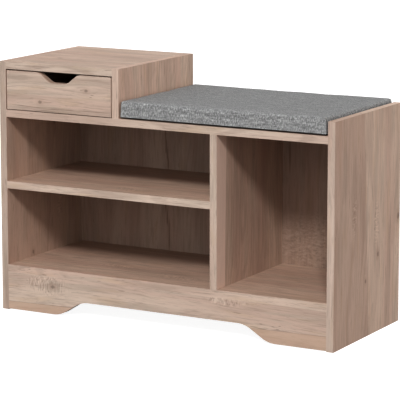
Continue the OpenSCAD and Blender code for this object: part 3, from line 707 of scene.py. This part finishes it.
def yellow_foam():
    """Open-cell foam: fine pits, and a blush where it was cut."""
    material, tree, surface = new_material("yellow_foam", 0.95)
    place = add(tree, "TexCoord").outputs["Object"]
    pits = add(tree, "TexVoronoi", {"Vector": place, "Scale": 900.0}).outputs["Distance"]
    blush = noise(tree, place, 18.0, 3.0)
    colour = shaded(tree, pits, 0.05, 0.5, rgb(0.50, 0.40, 0.17), rgb(0.80, 0.71, 0.44))
    colour = blend_colour(tree, soft_step(tree, blush, 0.45, 0.7, 0.0, 0.4), colour, rgb(0.84, 0.77, 0.55))
    dull = soft_step(tree, pits, 0.0, 0.6, 0.98, 0.88)
    finish(tree, surface, colour, dull, pits, 0.5, 0.0004)
    return material


def finish_fittings():
    plating = zinc()
    for node, piece in nodes.items():
        if node.endswith(("cam_locks", "cam_bolts", "screws", "roller_pins")):
            dress(piece, plating)
    dress(nodes["dowels"], beech("beech_dowels", (0, 0, 0)))
    dress(nodes["drawer_dowels"], beech("beech_drawer_dowels", (0, 0, math.radians(90))))
    nylon = white_nylon()
    dress(nodes["corner_blocks"], nylon)
    for end in ("front", "rear"):
        for side in ("left", "right"):
            dress(nodes[f"{end}_roller_{side}"], nylon)
    paint = runner_paint()
    for node in ("runner_left", "runner_right", "drawer_rail_left", "drawer_rail_right"):
        dress(nodes[node], paint)
    dress(nodes["hook_pads"], black_fibre("hook_tape", 0.0016))
    dress(nodes["loop_pads"], black_fibre("loop_tape", 0.0011))


# ---------------------------------------------------------------- seat pad

PAD_CELL = 0.005
PAD_SWELL = (0.0006, 0.0006, 0.0012)    # the most that the cover's cloth may move
PAD_CROWN = 0.0012        # how far the middle of the top stands above its edges
PAD_PULL = 0.0006         # how far each side pulls in between its corners
PAD_CORNER = 0.0016       # radius of the upright corners, at the top
PAD_FOOT = 0.0003         # and at the base
PAD_EDGE = 0.0024         # radius of the top's edge
PAD_SIDE_GAP = 0.001      # the blank starts that much inside the cover's box
PAD_TOP_RISE = 0.0027     # that much above its top
PAD_BASE = 0.0007         # and that much above its underside, clear of the dust cloth
PAD_WAVE = 0.0004         # how much the cloth's surface waves
BOARD_HOLD = 0.006        # the board keeps the cover's lowest part in shape, up to that height
SWELL_FRAMES = 20
TURNED_IN = 0.009         # how much of the cover's cloth is turned in under the pad
COVER_CLOTH = 0.0012      # the foam is that much inside the cover
STAPLE = (0.0095, 0.0011, 0.0005)
STAPLE_INSET = 0.014      # from the pad's edge to the staples
STAPLES_ALONG = 9         # on each long side
STAPLES_ACROSS = 6        # on each short side

CLOTH_DEEP = rgb(0.126, 0.126, 0.127)
CLOTH_DARK = rgb(0.275, 0.275, 0.275)
CLOTH_PALE = rgb(0.441, 0.441, 0.439)
CLOTH_LIGHT = rgb(0.767, 0.767, 0.762)
CLOTH_TOP_SHADE = rgb(0.270, 0.270, 0.271)    # the top is painted a little darker: painted shade with paler streaks along the cloth
CLOTH_TOP_SHADE_STREAK = rgb(0.340, 0.340, 0.339)    # and paler where it is rubbed


def grey_weave_group():
    """Woven grey cloth: two sets of threads, with thick places and their own shades, so it is heathered."""
    tree, give, take = shader_group(
        "grey_weave",
        [("Vector", "Vector", None), ("Thread", "Float", 0.0008)],
        [("Colour", "Color"), ("Roughness", "Float"), ("Height", "Float")],
    )
    across = add(tree, "CombineXYZ", {"X": give["Thread"], "Y": give["Thread"], "Z": 1.0}).outputs["Vector"]
    cell = add(tree, "SeparateXYZ", {"Vector": along(tree, "DIVIDE", give["Vector"], across)}).outputs
    over_u = maths(tree, "ABSOLUTE", maths(tree, "SINE", times(tree, cell["X"], math.pi)))
    over_v = maths(tree, "ABSOLUTE", maths(tree, "SINE", times(tree, cell["Y"], math.pi)))
    steps = maths(tree, "ADD", maths(tree, "FLOOR", cell["X"]), maths(tree, "FLOOR", cell["Y"]))
    odd = maths(tree, "MODULO", maths(tree, "ABSOLUTE", steps), 2.0)
    height = mix(tree, "FLOAT", odd, over_u, over_v)

    long_u = noise(tree, along(tree, "MULTIPLY", give["Vector"], (60, 520, 1)), 1.0, 3.0, 0.65)
    long_v = noise(tree, along(tree, "MULTIPLY", give["Vector"], (520, 90, 1)), 1.0, 3.0, 0.65)
    shade = mix(tree, "FLOAT", odd, long_v, long_u)
    slub_u = noise(tree, along(tree, "MULTIPLY", give["Vector"], (65, 330, 1)), 1.0, 2.0, 0.6)
    slub_v = noise(tree, along(tree, "MULTIPLY", give["Vector"], (410, 165, 1)), 1.0, 2.0, 0.6)
    cloud = noise(tree, along(tree, "MULTIPLY", give["Vector"], (26, 90, 1)), 1.0, 3.0, 0.6)

    colour = blend_colour(tree, soft_step(tree, shade, 0.30, 0.70), CLOTH_DARK, CLOTH_PALE)
    colour = blend_colour(tree, soft_step(tree, slub_u, 0.53, 0.68, 0.0, 0.40), colour, CLOTH_LIGHT)
    colour = blend_colour(tree, soft_step(tree, slub_u, 0.32, 0.46, 0.32, 0.0), colour, CLOTH_DEEP)
    colour = blend_colour(tree, soft_step(tree, slub_v, 0.52, 0.66, 0.0, 0.62), colour, CLOTH_LIGHT)
    colour = blend_colour(tree, soft_step(tree, slub_v, 0.34, 0.47, 0.55, 0.0), colour, CLOTH_DEEP)
    colour = blend_colour(tree, soft_step(tree, cloud, 0.38, 0.62, 0.26, 0.0), colour, CLOTH_DEEP)
    # Painted shade in the gaps between the threads.
    gap = soft_step(tree, height, 0.05, 0.45, 0.55, 0.0)
    colour = blend_colour(tree, gap, colour, CLOTH_DEEP)
    feed(tree, colour, take["Colour"])
    feed(tree, soft_step(tree, cloud, 0.3, 0.7, 0.86, 0.96), take["Roughness"])
    lumps = maths(tree, "ADD", times(tree, slub_u, 0.8), times(tree, slub_v, 0.8))
    feed(tree, maths(tree, "ADD", height, lumps), take["Height"])
    return tree


def corner_seam_group():
    """The upright seam at each corner of the cover: the sunk line, and the stitches beside it."""
    tree, give, take = shader_group(
        "corner_seam",
        [("Vector", "Vector", None), ("Middle", "Vector", None), ("Half", "Vector", None)],
        [("Seam", "Float"), ("Stitch", "Float")],
    )
    away = along(tree, "ABSOLUTE", along(tree, "SUBTRACT", give["Vector"], give["Middle"]))
    inward = add(tree, "SeparateXYZ", {"Vector": along(tree, "SUBTRACT", give["Half"], away)}).outputs
    diagonal = maths(tree, "SUBTRACT", inward["X"], inward["Y"])
    near = maths(tree, "ADD", inward["X"], inward["Y"])
    here = soft_step(tree, near, 0.006, 0.008, 1.0, 0.0)
    line = soft_step(tree, maths(tree, "ABSOLUTE", diagonal), 0.0004, 0.0011, 1.0, 0.0)
    feed(tree, times(tree, line, here), take["Seam"])
    beside = maths(tree, "ABSOLUTE", maths(tree, "SUBTRACT", maths(tree, "ABSOLUTE", diagonal), 0.0028))
    thread = soft_step(tree, beside, 0.0003, 0.0007, 1.0, 0.0)
    dash = maths(tree, "SINE", times(tree, inward["Z"], 2 * math.pi / 0.0034))
    thread = times(tree, thread, soft_step(tree, dash, -0.5, -0.2))
    feed(tree, times(tree, thread, here), take["Stitch"])
    return tree


def cover_cloth(low, high):
    material, tree, surface = new_material("grey_weave", 0.9)
    coords = add(tree, "TexCoord").outputs
    weave = use(tree, grey_weave_group(), Vector=coords["UV"])
    seam = use(
        tree, corner_seam_group(), Vector=coords["Object"], Middle=(low + high) / 2, Half=(high - low) / 2,
    )
    # Darker along the sunk seam line: painted shade in its crease.
    colour = blend_colour(tree, times(tree, seam["Seam"], 0.75), weave["Colour"], CLOTH_DEEP)
    colour = blend_colour(tree, times(tree, seam["Stitch"], 0.6), colour, CLOTH_LIGHT)
    # The upward faces are painted darker: painted shade, with the cloth's paler streaks in it.
    upwards = soft_step(tree, along(tree, "DOT_PRODUCT", coords["Normal"], (0, 0, 1)), 0.4, 0.9)
    top_shade = noise(tree, along(tree, "MULTIPLY", coords["UV"], (30, 160, 1)), 1.0, 3.0, 0.6)
    top_shade = blend_colour(tree, soft_step(tree, top_shade, 0.38, 0.62), CLOTH_TOP_SHADE, CLOTH_TOP_SHADE_STREAK)
    colour = blend_colour(tree, times(tree, upwards, 0.5), colour, top_shade)
    height = maths(tree, "SUBTRACT", weave["Height"], times(tree, seam["Seam"], 2.0))
    height = maths(tree, "ADD", height, seam["Stitch"])
    finish(tree, surface, colour, weave["Roughness"], height, 0.7, 0.0003)
    surface["Specular IOR Level"].default_value = 0.1
    return material


def pick(pieces):
    """Selects these pieces and nothing else, and makes the first of them active."""
    bpy.ops.object.select_all(action="DESELECT")
    for piece in pieces:
        piece.select_set(True)
    bpy.context.view_layer.objects.active = pieces[0]


def copy_of(piece):
    twin = piece.copy()
    twin.data = piece.data.copy()
    bpy.context.collection.objects.link(twin)
    return twin


def round_off(piece, degrees):
    """Shades the piece smooth, but not over edges that are sharper than that angle."""
    pick([piece])
    bpy.ops.object.shade_smooth_by_angle(angle=math.radians(degrees))


def face_outwards():
    """Turns every face of the piece in edit mode outwards, and leaves edit mode."""
    bpy.ops.mesh.select_all(action="SELECT")
    bpy.ops.mesh.normals_make_consistent(inside=False)
    bpy.ops.object.mode_set(mode="OBJECT")


def block_of_cells(name, low, high, cell, layers):
    """A closed block whose top and bottom are a grid of square cells, and whose sides are cut in layers."""
    bpy.ops.object.select_all(action="DESELECT")
    width, depth, tall = high - low
    count_x, count_y = round(width / cell), round(depth / cell)
    middle = (low + high) / 2
    bpy.ops.mesh.primitive_grid_add(
        x_subdivisions=count_x, y_subdivisions=count_y, size=1, calc_uvs=False,
        location=(middle.x, middle.y, low.z),
    )
    piece = bpy.context.object
    piece.name = piece.data.name = name
    piece.scale = (width, depth, 1)
    bpy.ops.object.transform_apply(location=True, rotation=True, scale=True)
    bpy.ops.object.mode_set(mode="EDIT")
    bpy.ops.mesh.select_all(action="SELECT")
    for layer in range(layers):
        bpy.ops.mesh.extrude_region_move(TRANSFORM_OT_translate={"value": (0, 0, tall / layers)})
    face_outwards()
    return piece


def shape_pad(piece, low, high):
    """Rounds the blank's edges and corners, crowns its top and pulls its sides in between the corners."""
    middle, half = (low + high) / 2, (high - low) / 2
    for vertex in piece.data.vertices:
        place = vertex.co
        up = min(1.0, max(0.0, (place.z - low.z - 0.0045) / 0.012))
        flat_x, flat_y = (place.x - middle.x) / half.x, (place.y - middle.y) / half.y
        edge_drop = max(0.0, 1 - (high.z - place.z) / PAD_EDGE)
        inset = PAD_EDGE * (1 - math.sqrt(max(0.0, 1 - edge_drop ** 2))) * 0.35
        reach_x, reach_y = half.x - inset, half.y - inset
        radius = PAD_FOOT + (PAD_CORNER - PAD_FOOT) * up
        x = min(reach_x, max(-reach_x, place.x - middle.x))
        y = min(reach_y, max(-reach_y, place.y - middle.y))
        over = Vector((max(0.0, abs(x) - reach_x + radius), max(0.0, abs(y) - reach_y + radius)))
        if over.x > 0 and over.y > 0 and over.length > 0:
            inside = over * (max(over.x, over.y) / over.length)
            x = math.copysign(reach_x - radius + inside.x, x)
            y = math.copysign(reach_y - radius + inside.y, y)
        pull = PAD_PULL * up
        x -= flat_x ** 15 * pull * (1 - flat_y ** 4)
        y -= flat_y ** 15 * pull * (1 - flat_x ** 4)
        crown = PAD_CROWN * (1 - flat_x ** 4) * (1 - flat_y ** 4)
        wave = PAD_WAVE * mathutils_noise.noise(Vector((place.x * 16, place.y * 22, place.z * 30)))
        vertex.co = (middle.x + x, middle.y + y, place.z + up * (crown + wave))


def swell(piece, most):
    """Swells the blank as cloth under pressure, with its base held, and moves no point more than most."""
    start = [vertex.co.copy() for vertex in piece.data.vertices]
    base = min(place.z for place in start)
    held = piece.vertex_groups.new(name="held")
    held.add([i for i, place in enumerate(start) if place.z < base + BOARD_HOLD], 1.0, "ADD")
    cloth = piece.modifiers.new("cloth", "CLOTH")
    cloth.settings.quality = 6
    cloth.settings.mass = 0.3
    cloth.settings.tension_stiffness = 40
    cloth.settings.compression_stiffness = 40
    cloth.settings.bending_stiffness = 2
    cloth.settings.shrink_min = -0.01
    cloth.settings.use_pressure = True
    cloth.settings.uniform_pressure_force = 4
    cloth.settings.vertex_group_mass = "held"
    cloth.settings.effector_weights.gravity = 0
    cloth.point_cache.frame_start = 1
    cloth.point_cache.frame_end = SWELL_FRAMES
    scene = bpy.context.scene
    for number in range(1, SWELL_FRAMES + 1):
        scene.frame_set(number)
    swollen = piece.evaluated_get(bpy.context.evaluated_depsgraph_get()).data.vertices
    moves = [end.co - place for end, place in zip(swollen, start)]
    piece.modifiers.remove(cloth)
    scene.frame_set(1)
    for vertex, place, move in zip(piece.data.vertices, start, moves):
        vertex.co = [at + most[i] * math.tanh(move[i] / most[i]) for i, at in enumerate(place)]
    piece.vertex_groups.clear()


def lay_weave(piece, middle):
    """The cloth runs over the top and down each side in one piece, so its threads are measured that way."""
    top = max(vertex.co.z for vertex in piece.data.vertices)
    threads = []
    for vertex in piece.data.vertices:
        lean_x, lean_y = vertex.normal.x ** 2, vertex.normal.y ** 2
        drop = vertex.co.z - top
        away = vertex.co - middle
        share = lean_x + lean_y + 0.01
        u = vertex.co.x + math.copysign(drop, away.x) * lean_x / share
        v = vertex.co.y + math.copysign(drop, away.y) * lean_y / share
        threads.append((u, v))
    layer = piece.data.uv_layers.new(name="threads")
    for loop in piece.data.loops:
        layer.data[loop.index].uv = threads[loop.vertex_index]


def smooth_once(piece):
    smooth = piece.modifiers.new("smooth", "SUBSURF")
    smooth.levels = smooth.render_levels = 1
    bpy.context.view_layer.objects.active = piece
    bpy.ops.object.modifier_apply(modifier=smooth.name)


def crease_cover(piece, base):
    """The board keeps the cover's lower edge and the foot of its corners sharp; the seams hold the rest."""
    sides = {}
    for face in piece.data.polygons:
        for key in face.edge_keys:
            sides.setdefault(key, []).append(face.normal.copy())
    crease = piece.data.attributes.new("crease_edge", "FLOAT", "EDGE")
    for edge in piece.data.edges:
        low_down = all(piece.data.vertices[i].co.z < base + BOARD_HOLD for i in edge.vertices)
        one, other = sides[edge.key]
        if one.dot(other) < 0.5:
            upright = max(abs(one.z), abs(other.z)) < 0.5
            crease.data[edge.index].value = 1.0 if low_down else 0.8 if upright else 0.0


def make_foam(cover, cut_z):
    """The foam block is what is inside the cover above its board."""
    foam = copy_of(cover)
    foam.name = foam.data.name = "seat_foam"
    pick([foam])
    bpy.ops.object.mode_set(mode="EDIT")
    bpy.ops.mesh.select_all(action="SELECT")
    bpy.ops.transform.shrink_fatten(value=-COVER_CLOTH)
    bpy.ops.mesh.bisect(plane_co=(0, 0, cut_z), plane_no=(0, 0, 1), use_fill=True, clear_inner=True)
    face_outwards()
    round_off(foam, 50)
    return foam


def make_dust_cloth(low, high):
    """Thin black cloth stretched under the pad."""
    edge = Vector((TURNED_IN, TURNED_IN, 0))
    start = low + edge + Vector((0, 0, 0.0001))
    end = Vector((high.x, high.y, low.z)) - edge + Vector((0, 0, 0.0006))
    cloth = block_of_cells("dust_cloth", start, end, 0.01, 1)
    for vertex in cloth.data.vertices:
        place = vertex.co
        place.x += 0.0006 * mathutils_noise.noise(Vector((place.x * 40, place.y * 40, 3.0)))
        place.y += 0.0006 * mathutils_noise.noise(Vector((place.x * 35, place.y * 35, 7.0)))
    return cloth, end - start


def make_staples(low, high):
    """Flat wire staples hold the dust cloth, all round its edge."""
    bpy.ops.object.select_all(action="DESELECT")
    bpy.ops.mesh.primitive_cube_add(size=1, scale=STAPLE, location=(0, 0, 0))
    staple = bpy.context.object
    bpy.ops.object.transform_apply(location=True, rotation=True, scale=True)
    bpy.ops.object.mode_set(mode="EDIT")
    bpy.ops.mesh.select_all(action="SELECT")
    bpy.ops.mesh.bevel(offset=0.0002, segments=2, affect="EDGES")
    bpy.ops.object.mode_set(mode="OBJECT")
    for vertex in staple.data.vertices:
        if abs(vertex.co.x) > 0.004:
            vertex.co.z += 0.0004
    inset = Vector((STAPLE_INSET, STAPLE_INSET, 0))
    near, far = low + inset, high - inset
    rows = []
    for number in range(STAPLES_ALONG):
        x = near.x + (far.x - near.x) * (number + 0.5) / STAPLES_ALONG
        rows += [(x, near.y, 0), (x, far.y, 0)]
    for number in range(STAPLES_ACROSS):
        y = near.y + (far.y - near.y) * (number + 0.5) / STAPLES_ACROSS
        rows += [(near.x, y, 90), (far.x, y, 90)]
    copies = []
    for number, (x, y, turn) in enumerate(rows):
        one = copy_of(staple)
        skewed = turn + 4 * math.sin(number * 2.3)
        spin = Matrix.Rotation(math.radians(skewed), 4, "Z")
        one.data.transform(Matrix.Translation((x, y, low.z - 0.0001)) @ spin)
        copies.append(one)
    bpy.data.objects.remove(staple)
    pick(copies)
    bpy.ops.object.join()
    joined = bpy.context.object
    joined.name = joined.data.name = "dust_cloth_staples"
    return joined


def make_seat_pad():
    low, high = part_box("cushion_cover")
    start = low + Vector((PAD_SIDE_GAP, PAD_SIDE_GAP, PAD_BASE))
    end = high + Vector((-PAD_SIDE_GAP, -PAD_SIDE_GAP, PAD_TOP_RISE))
    cover = block_of_cells("seat_cover", start, end, PAD_CELL, 6)
    shape_pad(cover, start, end)
    swell(cover, PAD_SWELL)
    foam = make_foam(cover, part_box("cushion_board")[1].z + 0.0001)
    lay_weave(cover, (low + high) / 2)
    crease_cover(cover, start.z)
    smooth_once(cover)
    round_off(cover, 60)
    dress(cover, cover_cloth(low, high))
    dress(foam, yellow_foam())
    cloth, size = make_dust_cloth(low, high)
    dress(cloth, black_fibre("dust_cloth", 0.0014))
    staples = make_staples(low, high)
    dress(staples, bpy.data.materials["zinc_plating"])
    for piece, node, slot in (
        (cover, "cushion_cover", "linen"),
        (foam, "cushion_foam", "foam"),
        (cloth, "cushion_underside", "black_cloth"),
    ):
        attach(piece, "cushion")
        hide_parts(node)
    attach(staples, "cushion")


# ---------------------------------------------------------------- the whole scene

knot_group = make_knot_group()
patch_group = make_patch_group()
plank_group = make_plank_group()
oak_group = make_oak_group()
edge_group = make_edge_group()

add_camera()
add_key_light()
add_room()
add_floor()
make_oak_boards()
make_hardboard()
finish_fittings()
make_seat_pad()
for node in (
    "side_panel_left", "side_panel_right", "bay_wall", "divider", "seat_board", "top_board",
    "middle_shelf", "bottom_shelf", "apron", "drawer_front",
):
    ease_edges(node)
